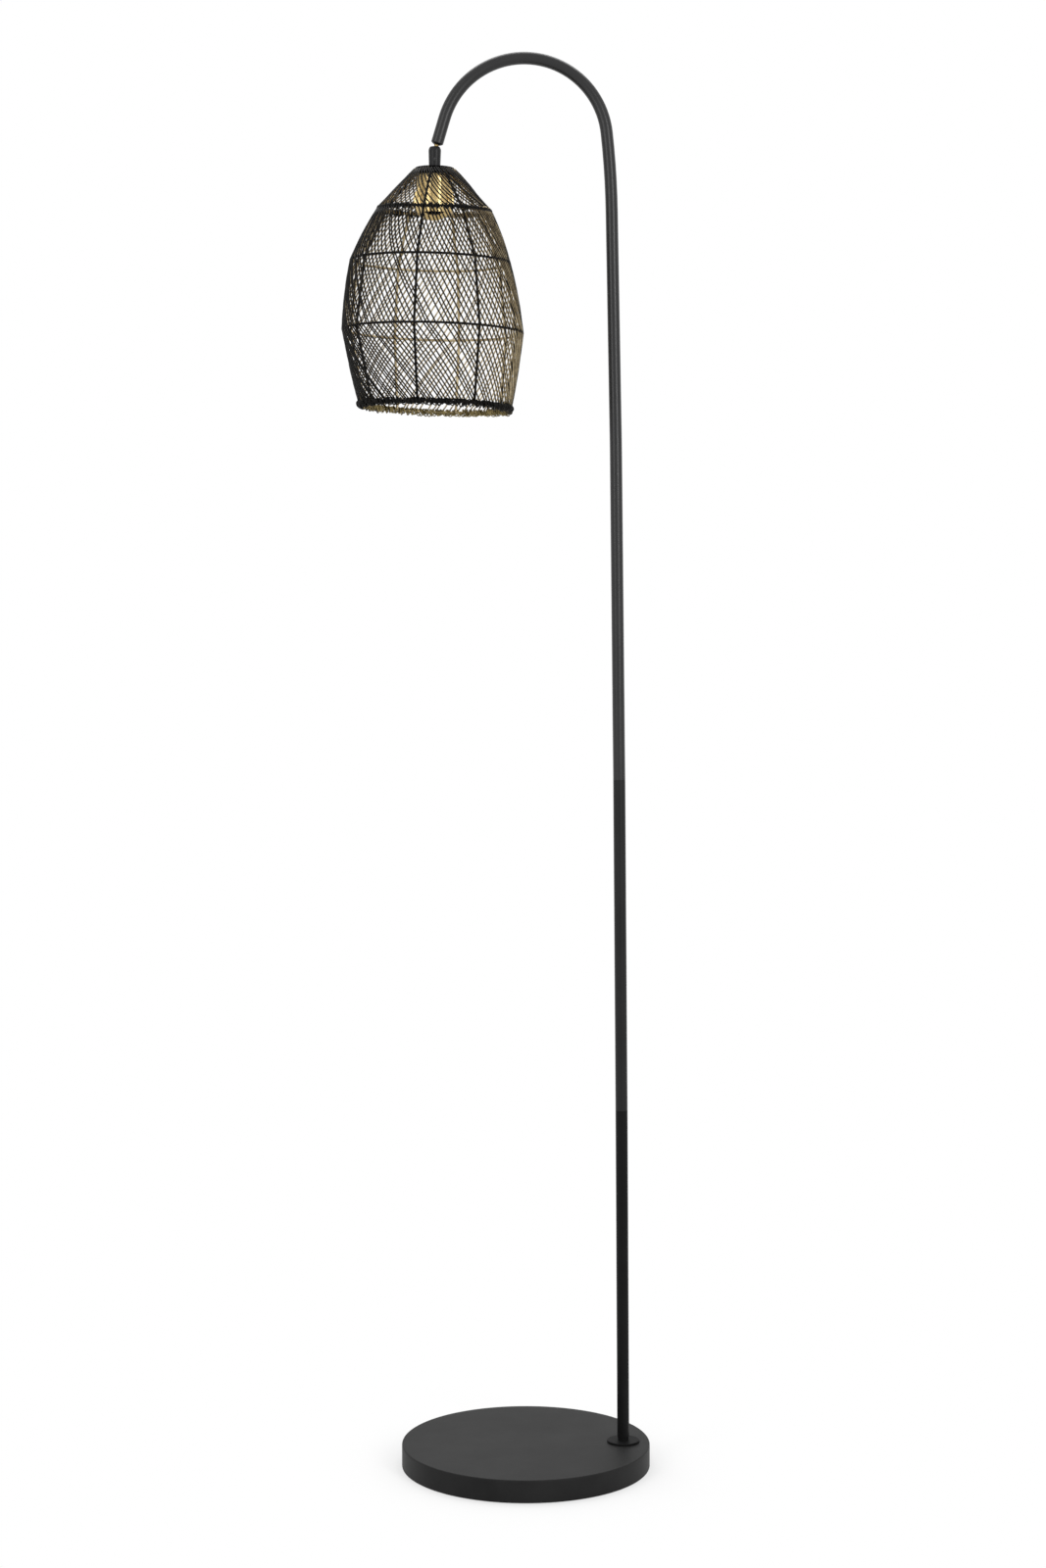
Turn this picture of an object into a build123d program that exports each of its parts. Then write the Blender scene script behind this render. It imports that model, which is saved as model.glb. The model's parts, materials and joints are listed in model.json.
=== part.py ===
from build123d import *
import math
import os
import random

# Wire cage floor lamp. Millimetres and degrees. +Z is up, the floor is Z = 0 and the origin is the
# middle of the base's underside. The arm's plane is XZ: the pole stands at +X, the shade hangs at -X.

# ---- base ------------------------------------------------------------------------------------
BASE_DIAMETER = 300.0
BASE_TOP = 27.4              # height of the base's top face above the floor
COVER_SHEET = 1.2            # pressed steel cover
COVER_EDGE_RADIUS = 1.6
RIM_LIFT = 0.8               # the cover's rim stays this far off the floor
FELT_MARGIN = 1.3            # the felt stops this far inside the bottom plate's edge
FELT_THICKNESS = 2.0
PLATE_SHEET = 1.2
WEIGHT_THICKNESS = 9.0
BOSS_RADIUS = 8.0            # the weight's legs, which carry the bottom plate
BOSS_INSET = 34.0            # from the weight's edge to the middle of a leg
BOSS_COUNT = 4
PLATE_SCREW_RADIUS = 2.0
PLATE_SCREW_HEAD_RADIUS = 3.4
PLATE_SCREW_LENGTH = 10.0
NUT_POCKET_RADIUS = 12.5
NUT_POCKET_DEPTH = 5.0
NUT_POCKET_HOLE_GAP = 0.9    # round the nipple in the weight, for its lean

# ---- mains inlet and wiring in the base ------------------------------------------------------
INLET_BORE_RADIUS = 3.2
INLET_NECK_RADIUS = 4.4
INLET_FLANGE_RADIUS = 6.2
INLET_FLANGE_THICKNESS = 1.5
INLET_HEIGHT = 10.6
BLOCK_LENGTH = 22.0
BLOCK_WIDTH = 18.0
BLOCK_HEIGHT = 11.0
BLOCK_FROM_POLE = 46.0       # from the pole's axis to the middle of the terminal block
BLOCK_WELL_RADIUS = 2.0      # wells of the terminals' screws
BLOCK_WELL_DEPTH = 3.0
BLOCK_SCREW_RADIUS = 1.5
BLOCK_SCREW_HEAD_RADIUS = 2.8
BLOCK_SCREW_HEAD_HEIGHT = 1.8
BLOCK_SCREW_DEPTH = 6.0      # how far the screw goes into the weight
LEAD_DIAMETER = 2.4
LEAD_BEND_RADIUS = 8.0       # where the lead turns up into the pole
LEAD_EASY_BEND_RADIUS = 3000.0
LEAD_HEIGHT = 8.7            # the lead's height above the floor in the base
LEAD_TUCK = 4.0              # how far the lead goes into its terminal
LEAD_END_GAP = 1.8           # each lead stops this far from the middle of the ball

# ---- pole ------------------------------------------------------------------------------------
TUBE_DIAMETER = 14.5
TUBE_WALL = 1.0
POLE_INSET = 32.0            # from the base's rim to the pole's axis at its foot
POLE_SECTION = 398.5         # pitch of the pole's joints along the pole
POLE_LEANS = (0.42, 0.53, 0.70)   # lean of each section towards the shade, growing at each joint
FLANGE_DIAMETER = 39.3
FLANGE_THICKNESS = 2.6
FLANGE_EDGE_RADIUS = 0.9
COLLAR_RADIUS = 6.7
COLLAR_HEIGHT = 4.4
NIPPLE_RADIUS = 5.0          # threaded tubes of 10 mm
NIPPLE_BORE_RADIUS = 3.4
NIPPLE_REACH = 12.0          # how far the pole's nipple goes up into the pole
FOOT_BUSH_LENGTH = 14.0
WASHER_THICKNESS = 1.2
WASHER_RADIUS = 10.0
NUT_ACROSS_FLATS = 14.0
NUT_HEIGHT = 3.9
COUPLER_LENGTH = 44.0
COUPLER_BORE_RADIUS = 4.6

# ---- bent arm --------------------------------------------------------------------------------
ARM_LEAN = 1.14
ARM_STRAIGHT = 272.0
ARM_EASY_RADIUS = 1000.0     # the bend starts gently
ARM_EASY_TURN = 5.3
ARM_RADIUS = 97.8
ARM_END_ANGLE = 16.75        # the arm's last straight, measured from hanging straight down
ARM_END_STRAIGHT = 30.0

# ---- ball joint ------------------------------------------------------------------------------
PLUG_DEPTH = 12.0
PLUG_NOSE = 2.2
PLUG_NOSE_RADIUS = 6.9
PLUG_NOSE_TIP_RADIUS = 4.4
PLUG_SCREW_RADIUS = 1.5
PLUG_SCREW_BITE = 2.6
BALL_DROP = 10.0             # from the end of the arm to the middle of the ball
BALL_RADIUS = 5.6
STUD_RADIUS = 2.4
STUD_BORE_RADIUS = 1.6
STUD_COLLAR_RADIUS = 3.0
STUD_COLLAR_HEIGHT = 0.7
STUD_WASHER_RADIUS = 5.4
STUD_WASHER_THICKNESS = 1.0
STUD_NUT_ACROSS_FLATS = 8.0
STUD_NUT_HEIGHT = 3.2
STUD_FLARE = 30.0            # half angle of the flare that lets the lead swing
CUP_TOP_RADIUS = 7.35
CUP_FOOT_RADIUS = 6.75
CUP_DEPTH = 18.0             # from the middle of the ball to the cup's foot
MOUTH_INNER_ANGLE = 53.0     # half angles of the cup's mouth, from the middle of the ball
MOUTH_OUTER_ANGLE = 48.5
MOUTH_ARC_ANGLE = 70.0       # any angle between the mouth's and a right angle, to draw its arcs
SEAT_TOP = 2.6               # depths below the middle of the ball
SEAT_FOOT = 6.6
SEAT_HOLE_RADIUS = 2.0
SPRING_THICKNESS = 0.65
SPRING_INNER_RADIUS = 3.0
SWIVEL_FLANGE_RADIUS = 5.5
SWIVEL_FLANGE_THICKNESS = 0.9
BUSH_INNER_RADIUS = 5.15
CUP_SCREW_RADIUS = 1.5
CUP_SCREW_DEPTH = 10.3
GRUB_SOCKET_RADIUS = 0.8     # hexagon sockets of the grub screws
GRUB_SOCKET_DEPTH = 1.2
HEAD_TILT = 0.6              # the head hangs this far from plumb, its foot away from the pole

# ---- top of the head, depths below the middle of the ball -------------------------------------
CAP_TOP = 18.4
CAP_SHEET = 1.5
CAP_CROWN_RADIUS = 10.0
CAP_RADIUS = 23.4
CAP_FALL = 1.6               # the cap slopes down this much to its edge
CAP_RIM_HEIGHT = 3.9
CAP_RIM_SHEET = 1.2
CAP_NUT_HEIGHT = 3.2
CAP_WASHER_MARGIN = 1.0      # the washer under the cap stops this far inside its flat crown
HEAD_NIPPLE_FOOT = 35.0

# ---- lampholder, depths below the middle of the ball ------------------------------------------
HOLDER_CUP_DIAMETER = 42.8
HOLDER_CUP_SHEET = 0.8
HOLDER_CUP_SHOULDER = 8.0
HOLDER_CUP_FOOT = 73.0
HOLDER_NECK_RADIUS = 9.0
HOLDER_NECK_HEIGHT = 8.6
HOLDER_CHAMBER_RADIUS = 8.0
HOLDER_FLOOR_TOP = 44.0
HOLDER_FLOOR = 3.0
SOCKET_RADIUS = 13.2         # bore of the E27 screw shell
SOCKET_SHEET = 0.55
SOCKET_LENGTH = 21.0
SOCKET_LIP = 1.5             # the shell stops this far inside the holder's mouth
CONTACT_RADIUS = 4.5
CONTACT_THICKNESS = 0.6
CONTACT_NIB_RADIUS = 2.0
CONTACT_NIB_HEIGHT = 1.4
CONTACT_RIVET_RADIUS = 1.8
TERMINAL_SCREW_RADIUS = 1.5
TERMINAL_HEAD_RADIUS = 2.2
TERMINAL_HEAD_HEIGHT = 1.6
TERMINAL_SPACING = 9.6

# ---- wire cage --------------------------------------------------------------------------------
RING_BAR_RADIUS = 1.4
RIB_RADIUS = 1.5
WIRE_RADIUS = 0.8
CAP_WIRE_LAYER = 2.2         # every second wire starts this much further out from the cap's rim
BINDING_RADIUS = 2.7         # the bound bottom rim, measured round its ring
BINDING_GAP = 0.3            # between the bottom ring and its binding
BINDING_OPENING = 0.4        # the binding is open inwards from this far inside the ring's middle
RIB_TOP_RADIUS = 22.7
RIB_TOP_DEPTH = 25.0
RIB_BEND_RADIUS = 6.0
CAP_WIRE_DEPTH = 23.0        # where the wires leave the cap's rim
WIRE_STAGGER = 0.9           # wires end this far above or below the middle of a ring
RIM_LANDING = 1.2            # the lowest wires end this far outside the middle of the bottom ring
WIRE_SCATTER = 0.16          # hand-laid wires stray by this share of their spacing
SCATTER_SEED = 11

# Each ring: depth below the ball, radius, drift along X, and how far it dips to the front and to the
# right, because the cage is bent and soldered by hand.
RINGS = {
    "neck_ring": (69.0, 65.6, 0.1, 3.2, 0.9),
    "shoulder_ring": (129.4, 92.2, -4.1, 0.5, 0.7),
    "belly_ring": (210.6, 104.8, -0.7, 0.0, 0.7),
    "rim_ring": (298.8, 89.4, 2.9, 0.0, 1.2),
}

# Each rib, bent by hand like the rings: its azimuth at the cap and at each ring downwards.
RIBS = (
    (-55.0, -59.7, -56.9, -58.6, -57.0),
    (-9.0, -9.6, -7.7, -10.2, -11.9),
    (32.5, 33.2, 37.1, 34.0, 33.6),
    (78.0, 78.0, 78.0, 78.0, 78.0),
    (123.0, 119.0, 115.0, 122.2, 117.1),
    (165.5, 162.4, 160.0, 163.5, 164.9),
    (206.0, 211.2, 208.0, 208.8, 213.8),
    (256.0, 258.0, 259.0, 255.3, 259.0),
)

# Each band of wires: the rings at its top and foot, how many wires, how far round they turn on the
# way down, how much that turn varies round the cage and from which azimuth, and how far the wires
# bow out past the straight side of the cage.
BANDS = {
    "cap_wires": (None, "neck_ring", 104, 40.0, 12.0, 68.0, 0.3),
    "shoulder_wires": ("neck_ring", "shoulder_ring", 104, 20.0, 1.7, 104.0, 1.5),
    "belly_wires": ("shoulder_ring", "belly_ring", 104, 26.6, 5.9, 173.0, 1.5),
    "skirt_wires": ("belly_ring", "rim_ring", 104, 36.1, 6.8, -119.0, 1.0),
}

# ---- clearances -------------------------------------------------------------------------------
SEAM_GAP = 0.1               # between parts that are screwed or stacked together
THREAD_GAP = 0.06            # round a screw or a nipple in its thread
PRESS_GAP = 0.05             # round a bush that is pressed into a tube
SLIP_GAP = 0.12              # round a coupler in a tube
RUNNING_GAP = 0.08           # round the stud that turns in the arm's plug
BALL_GAP = 0.25              # round the ball
HOLE_GAP = 0.3               # round a bolt that passes through a sheet
HEAD_GAP = 0.4               # between the cup's foot and the shade's cap
WIRE_GAP = 0.15              # between a wire and the ring it is laid on
PLATE_GAP = 1.0              # round the bottom plate in the cover
WEIGHT_GAP = 2.8             # round the weight in the cover
CUT_PAST = 1.0               # a cutting body runs this far past the face it leaves by

# ---- derived sizes ----------------------------------------------------------------------------
BASE_RADIUS = BASE_DIAMETER / 2
COVER_BORE_RADIUS = BASE_RADIUS - COVER_SHEET
PLATE_RADIUS = COVER_BORE_RADIUS - PLATE_GAP
WEIGHT_RADIUS = COVER_BORE_RADIUS - WEIGHT_GAP
FELT_RADIUS = PLATE_RADIUS - FELT_MARGIN
BOSS_CIRCLE_RADIUS = WEIGHT_RADIUS - BOSS_INSET
POLE_X = BASE_RADIUS - POLE_INSET
BLOCK_X = POLE_X - BLOCK_FROM_POLE
COVER_UNDERSIDE = BASE_TOP - COVER_SHEET
WEIGHT_FOOT = COVER_UNDERSIDE - WEIGHT_THICKNESS
PLATE_TOP = FELT_THICKNESS + PLATE_SHEET
TUBE_RADIUS = TUBE_DIAMETER / 2
TUBE_BORE_RADIUS = TUBE_RADIUS - TUBE_WALL
POLE_FOOT = BASE_TOP + FLANGE_THICKNESS + COLLAR_HEIGHT + SEAM_GAP
LEAD_RADIUS = LEAD_DIAMETER / 2
HOLDER_CUP_RADIUS = HOLDER_CUP_DIAMETER / 2
POCKET_TOP = WEIGHT_FOOT + NUT_POCKET_DEPTH
SPRING_FOOT = SEAT_FOOT + SEAM_GAP + SPRING_THICKNESS
SWIVEL_FLANGE_TOP = SPRING_FOOT + HEAD_GAP / 2
SWIVEL_FLANGE_FOOT = SWIVEL_FLANGE_TOP + SWIVEL_FLANGE_THICKNESS
BUSH_TOP = SWIVEL_FLANGE_FOOT + HEAD_GAP / 2
CAP_WASHER_TOP = CAP_TOP + CAP_SHEET + SEAM_GAP / 2
CAP_NUT_TOP = CAP_WASHER_TOP + WASHER_THICKNESS + SEAM_GAP / 2
HOLDER_CUP_TOP = CAP_NUT_TOP + CAP_NUT_HEIGHT + SEAM_GAP
HOLDER_TOP = HOLDER_CUP_TOP + HOLDER_CUP_SHEET + SEAM_GAP
HOLDER_FOOT = HOLDER_CUP_FOOT - SOCKET_LIP
HOLDER_FLOOR_FOOT = HOLDER_FLOOR_TOP + HOLDER_FLOOR
SHELL_FOOT = HOLDER_FOOT - SOCKET_LIP
SHELL_TOP = SHELL_FOOT - SOCKET_LENGTH
WIRE_OFFSET = RING_BAR_RADIUS + WIRE_GAP + WIRE_RADIUS
RIB_OFFSET = RING_BAR_RADIUS + SEAM_GAP + RIB_RADIUS
RIM_LANDING_LIFT = BINDING_RADIUS + WIRE_RADIUS


# ---- helpers ----------------------------------------------------------------------------------
def rod(radius, low, high):
    """Cylinder on the Z axis between two heights."""
    return Pos(0, 0, (low + high) / 2) * Cylinder(radius, high - low)


def ring_of(outer, inner, low, high):
    """Plain ring on the Z axis between two heights."""
    return rod(outer, low, high) - rod(inner, low - CUT_PAST, high + CUT_PAST)


def turned(*points):
    """Body of revolution about Z from a closed outline of (radius, height) points."""
    outline = Polyline(*[(r, 0, z) for r, z in points], close=True)
    return revolve(make_face(outline), Axis.Z)


def hex_nut(across_flats, bore, low, high):
    """Hexagon nut on the Z axis."""
    blank = Pos(0, 0, low) * extrude(RegularPolygon(across_flats / 2, 6, major_radius=False), high - low)
    return blank - rod(bore, low - CUT_PAST, high + CUT_PAST)


def polar(radius, azimuth):
    """Point round the Z axis: azimuth 0 faces -Y and grows towards +X."""
    angle = math.radians(azimuth)
    return radius * math.sin(angle), -radius * math.cos(angle)


def save(node, shape):
    """Write one node's STEP file."""
    solids = shape.solids()
    body = solids[0] if len(solids) == 1 else Compound(children=list(solids))
    body.label = node
    export_step(body, f"parts/{node}.step")


# ---- the line of the pole and the arm ----------------------------------------------------------
def pole_joints():
    """Foot and joint points of the pole, as (x, z), from the foot to the start of the arm."""
    points = [(POLE_X, POLE_FOOT)]
    for lean in POLE_LEANS:
        x, z = points[-1]
        angle = math.radians(lean)
        points.append((x - POLE_SECTION * math.sin(angle), z + POLE_SECTION * math.cos(angle)))
    return points


def run(start, heading, length):
    """Straight run in the XZ plane. Heading is measured from +Z towards -X."""
    angle = math.radians(heading)
    end = (start[0] - length * math.sin(angle), start[1] + length * math.cos(angle))
    return Line((start[0], 0, start[1]), (end[0], 0, end[1])), end


def bend(start, heading, radius, turn):
    """Arc in the XZ plane that starts along heading and turns further towards -X."""
    first = math.radians(heading)

    def at(share):
        angle = first + math.radians(turn) * share
        x = start[0] - radius * (math.cos(first) - math.cos(angle))
        z = start[1] + radius * (math.sin(angle) - math.sin(first))
        return x, 0, z

    end = at(1.0)
    return ThreePointArc(at(0.0), at(0.5), end), (end[0], end[2])


def arm_line(start):
    """Centreline of the bent arm from its lower end, and the point where the arm ends."""
    main_turn = 180.0 - ARM_END_ANGLE - ARM_LEAN - ARM_EASY_TURN
    straight, point = run(start, ARM_LEAN, ARM_STRAIGHT)
    easy, point = bend(point, ARM_LEAN, ARM_EASY_RADIUS, ARM_EASY_TURN)
    main, point = bend(point, ARM_LEAN + ARM_EASY_TURN, ARM_RADIUS, main_turn)
    last, point = run(point, 180.0 - ARM_END_ANGLE, ARM_END_STRAIGHT)
    return [straight, easy, main, last], point


JOINTS = pole_joints()
ARM_EDGES, ARM_END = arm_line(JOINTS[-1])
ARM_END_PLACE = Location((ARM_END[0], 0, ARM_END[1]), (0, ARM_END_ANGLE, 0))
BALL_X = ARM_END[0] - BALL_DROP * math.sin(math.radians(ARM_END_ANGLE))
BALL_Z = ARM_END[1] - BALL_DROP * math.cos(math.radians(ARM_END_ANGLE))
HEAD_PLACE = Location((BALL_X, 0, BALL_Z), (0, HEAD_TILT, 0))
FOOT_PLACE = Location((POLE_X, 0, POLE_FOOT), (0, -POLE_LEANS[0], 0))


# ---- base ---------------------------------------------------------------------------------------
def base_cover():
    """Pressed steel dish with a hole for the pole's nipple and one for the cord's grommet."""
    dish = rod(BASE_RADIUS, RIM_LIFT, BASE_TOP)
    dish = fillet(dish.edges().group_by(Axis.Z)[-1], COVER_EDGE_RADIUS)
    dish -= rod(COVER_BORE_RADIUS, RIM_LIFT - CUT_PAST, COVER_UNDERSIDE)
    dish -= Pos(POLE_X, 0, BASE_TOP) * Cylinder(NIPPLE_RADIUS + HOLE_GAP, 4 * COVER_SHEET)
    inlet = Pos(0, BASE_RADIUS, INLET_HEIGHT) * Rot(90, 0, 0)
    return dish - inlet * Cylinder(INLET_NECK_RADIUS + SEAM_GAP, 6 * COVER_SHEET)


def boss_points():
    """Centres of the weight's legs, which also take the bottom plate's screws."""
    step = 360.0 / BOSS_COUNT
    return [polar(BOSS_CIRCLE_RADIUS, step / 2 + step * i) for i in range(BOSS_COUNT)]


def base_weight():
    """Cast iron disc with four legs, a pocket for the pole's nut and a hole for its nipple."""
    weight = rod(WEIGHT_RADIUS, WEIGHT_FOOT, COVER_UNDERSIDE)
    for x, y in boss_points():
        weight += Pos(x, y, 0) * rod(BOSS_RADIUS, PLATE_TOP, WEIGHT_FOOT + CUT_PAST)
    for x, y in boss_points():
        top = FELT_THICKNESS + PLATE_SCREW_LENGTH + CUT_PAST
        weight -= Pos(x, y, 0) * rod(PLATE_SCREW_RADIUS + THREAD_GAP, PLATE_TOP - CUT_PAST, top)
    weight -= Pos(POLE_X, 0, 0) * rod(NUT_POCKET_RADIUS, WEIGHT_FOOT - CUT_PAST, POCKET_TOP)
    weight -= Pos(POLE_X, 0, 0) * rod(NIPPLE_RADIUS + NUT_POCKET_HOLE_GAP, WEIGHT_FOOT, BASE_TOP)
    screw_top = WEIGHT_FOOT + BLOCK_SCREW_DEPTH + CUT_PAST
    screw = rod(BLOCK_SCREW_RADIUS + THREAD_GAP, WEIGHT_FOOT - CUT_PAST, screw_top)
    return weight - Pos(BLOCK_X, 0, 0) * screw


def countersunk_screw():
    """Countersunk screw with its head's flat at the bottom plate's underside."""
    low = FELT_THICKNESS
    high = low + PLATE_SHEET
    head = turned((0, low), (PLATE_SCREW_HEAD_RADIUS, low), (PLATE_SCREW_RADIUS, high), (0, high))
    return head + rod(PLATE_SCREW_RADIUS, low + PLATE_SHEET / 2, low + PLATE_SCREW_LENGTH)


def plate_screws():
    """The four screws that hold the bottom plate."""
    return Compound(children=[Pos(x, y, 0) * countersunk_screw() for x, y in boss_points()])


def bottom_plate():
    """Steel closing plate with countersunk holes."""
    plate = rod(PLATE_RADIUS, FELT_THICKNESS, PLATE_TOP)
    low = FELT_THICKNESS - SEAM_GAP
    high = PLATE_TOP + SEAM_GAP
    head = PLATE_SCREW_HEAD_RADIUS + 2 * SEAM_GAP
    shank = PLATE_SCREW_RADIUS + SEAM_GAP
    for x, y in boss_points():
        plate -= Pos(x, y, 0) * turned((0, low), (head, low), (shank, high), (0, high))
    return plate


def base_felt():
    """Felt disc that the lamp stands on."""
    return rod(FELT_RADIUS, 0, FELT_THICKNESS)


def cord_grommet():
    """Rubber grommet in the rear of the rim, clipped over the cover's wall."""
    gap = SEAM_GAP
    outer = BASE_RADIUS + gap
    inner = COVER_BORE_RADIUS - 2 * gap
    thick = INLET_FLANGE_THICKNESS
    body = rod(INLET_NECK_RADIUS, inner - thick / 2, outer + thick / 2)
    body += rod(INLET_FLANGE_RADIUS, outer, outer + thick)
    body += rod(INLET_FLANGE_RADIUS, inner - thick, inner)
    body -= rod(INLET_BORE_RADIUS, inner - 2 * thick, outer + 2 * thick)
    return Pos(0, 0, INLET_HEIGHT) * Rot(-90, 0, 0) * body


def terminal_block():
    """Two-way terminal block under the weight, where the supply cord meets the pole's lead."""
    block = Pos(BLOCK_X, 0, WEIGHT_FOOT - BLOCK_HEIGHT / 2) * Box(BLOCK_LENGTH, BLOCK_WIDTH, BLOCK_HEIGHT)
    block -= Pos(BLOCK_X, 0, 0) * rod(BLOCK_SCREW_RADIUS + SEAM_GAP, 0, WEIGHT_FOOT + CUT_PAST)
    entry = Pos(BLOCK_X + BLOCK_LENGTH / 2, 0, LEAD_HEIGHT) * Rot(0, 90, 0)
    block -= entry * Cylinder(LEAD_RADIUS + SEAM_GAP, 2 * (LEAD_TUCK + SEAM_GAP))
    well = BLOCK_LENGTH / 3
    well_top = WEIGHT_FOOT - BLOCK_HEIGHT + BLOCK_WELL_DEPTH
    for side in (-1, 1):
        for x in (BLOCK_X - well, BLOCK_X + well):
            block -= Pos(x, side * BLOCK_WIDTH / 4, 0) * rod(BLOCK_WELL_RADIUS, 0, well_top)
    return block


def block_screw():
    """Screw that holds the terminal block to the weight."""
    head_top = WEIGHT_FOOT - BLOCK_HEIGHT
    screw = rod(BLOCK_SCREW_HEAD_RADIUS, head_top - BLOCK_SCREW_HEAD_HEIGHT, head_top)
    screw += rod(BLOCK_SCREW_RADIUS, head_top - CUT_PAST, WEIGHT_FOOT + BLOCK_SCREW_DEPTH)
    return Pos(BLOCK_X, 0, 0) * screw


# ---- pole ---------------------------------------------------------------------------------------
def pole_flange():
    """Thin round flange with a collar, on which the pole stands."""
    flange = rod(FLANGE_DIAMETER / 2, BASE_TOP, BASE_TOP + FLANGE_THICKNESS)
    flange = fillet(flange.edges().group_by(Axis.Z)[-1], FLANGE_EDGE_RADIUS)
    flange += rod(COLLAR_RADIUS, BASE_TOP + FLANGE_THICKNESS / 2, POLE_FOOT - SEAM_GAP)
    return Pos(POLE_X, 0, 0) * (flange - rod(NIPPLE_RADIUS + HOLE_GAP, 0, POLE_FOOT + CUT_PAST))


def pole_nipple():
    """Threaded tube that clamps the pole, the flange and the weight together."""
    foot = WEIGHT_FOOT - POLE_FOOT - SEAM_GAP
    return FOOT_PLACE * ring_of(NIPPLE_RADIUS, NIPPLE_BORE_RADIUS, foot, NIPPLE_REACH)


def nipple_washer():
    """Washer in the weight's pocket."""
    top = POCKET_TOP - POLE_FOOT - SEAM_GAP
    return FOOT_PLACE * ring_of(WASHER_RADIUS, NIPPLE_RADIUS + SEAM_GAP, top - WASHER_THICKNESS, top)


def nipple_nut():
    """Nut in the weight's pocket."""
    top = POCKET_TOP - POLE_FOOT - 2 * SEAM_GAP - WASHER_THICKNESS
    low = top - NUT_HEIGHT + SEAM_GAP
    return FOOT_PLACE * hex_nut(NUT_ACROSS_FLATS, NIPPLE_RADIUS + THREAD_GAP, low, top)


def pole_foot_bush():
    """Threaded bush pressed into the foot of the lowest tube."""
    return FOOT_PLACE * ring_of(TUBE_BORE_RADIUS - PRESS_GAP, NIPPLE_RADIUS + THREAD_GAP, 0, FOOT_BUSH_LENGTH)


def pole_tube(index):
    """One straight tube of the pole."""
    x, z = JOINTS[index]
    place = Location((x, 0, z), (0, -POLE_LEANS[index], 0))
    return place * ring_of(TUBE_RADIUS, TUBE_BORE_RADIUS, 0, POLE_SECTION - SEAM_GAP)


def pole_coupler(index):
    """Sleeve inside the joint above a tube, lying between the leans of the tubes it joins."""
    x, z = JOINTS[index + 1]
    leans = POLE_LEANS + (ARM_LEAN,)
    place = Location((x, 0, z), (0, -(leans[index] + leans[index + 1]) / 2, 0))
    half = COUPLER_LENGTH / 2
    return place * ring_of(TUBE_BORE_RADIUS - SLIP_GAP, COUPLER_BORE_RADIUS, -half, half)


def bent_arm():
    """The top tube: straight, then bent over to the shade, with a tapped hole for the plug's screw."""
    first = ARM_EDGES[0]
    section = Plane(origin=first @ 0, z_dir=first % 0) * (Circle(TUBE_RADIUS) - Circle(TUBE_BORE_RADIUS))
    arm = sweep(section, path=Wire(ARM_EDGES))
    screw = ARM_END_PLACE * Pos(0, TUBE_RADIUS, PLUG_DEPTH / 2) * Rot(90, 0, 0)
    return arm - screw * Cylinder(PLUG_SCREW_RADIUS + THREAD_GAP, 4 * TUBE_WALL)


def arm_end_plug():
    """Turned plug in the end of the arm, in which the ball's stud turns."""
    waist = -PLUG_NOSE / 4
    plug = rod(TUBE_BORE_RADIUS - PRESS_GAP, waist, PLUG_DEPTH)
    nose = [(0, 0), (PLUG_NOSE_RADIUS, 0), (PLUG_NOSE_RADIUS, waist), (PLUG_NOSE_TIP_RADIUS, -PLUG_NOSE)]
    plug += turned(*nose, (0, -PLUG_NOSE))
    plug -= rod(STUD_RADIUS + RUNNING_GAP, -PLUG_NOSE - CUT_PAST, PLUG_DEPTH + CUT_PAST)
    bite = Pos(0, TUBE_RADIUS, PLUG_DEPTH / 2) * Rot(90, 0, 0)
    reach = TUBE_WALL + PLUG_SCREW_BITE + SEAM_GAP
    return ARM_END_PLACE * (plug - bite * Cylinder(PLUG_SCREW_RADIUS + THREAD_GAP, 2 * reach))


def plug_screw():
    """Grub screw through the arm's wall into the plug, on the side away from the front."""
    length = TUBE_WALL + PLUG_SCREW_BITE
    socket = extrude(RegularPolygon(GRUB_SOCKET_RADIUS, 6), GRUB_SOCKET_DEPTH, both=True)
    screw = Cylinder(PLUG_SCREW_RADIUS, length) - Pos(0, 0, length / 2) * socket
    place = ARM_END_PLACE * Pos(0, TUBE_RADIUS - length / 2, PLUG_DEPTH / 2) * Rot(-90, 0, 0)
    return place * screw


def pole_lead():
    """Two-core lead from the terminal block up the pole and round the arm to the ball."""
    foot_angle = math.radians(POLE_LEANS[0])
    turn_x = POLE_X + (POLE_FOOT - LEAD_HEIGHT) * math.tan(foot_angle)
    start = (BLOCK_X + BLOCK_LENGTH / 2 - LEAD_TUCK, 0, LEAD_HEIGHT)
    joint = (JOINTS[-1][0], 0, JOINTS[-1][1])
    top = ARM_EDGES[0] @ 1
    bends = (LEAD_BEND_RADIUS, LEAD_EASY_BEND_RADIUS)
    lower = FilletPolyline(start, (turn_x, 0, LEAD_HEIGHT), joint, top, radius=bends)
    tail, _ = run((ARM_END[0], ARM_END[1]), 180.0 - ARM_END_ANGLE, BALL_DROP - LEAD_END_GAP)
    path = Wire(list(lower.edges()) + ARM_EDGES[1:] + [tail])
    section = Plane(origin=start, z_dir=(1, 0, 0)) * Circle(LEAD_RADIUS)
    lead = sweep(section, path=path)
    exact = math.pi * LEAD_RADIUS**2 * path.length
    print(f"pole lead: length {path.length:.0f} mm, volume {lead.volume / exact:.6f} of its exact volume")
    return lead


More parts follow.
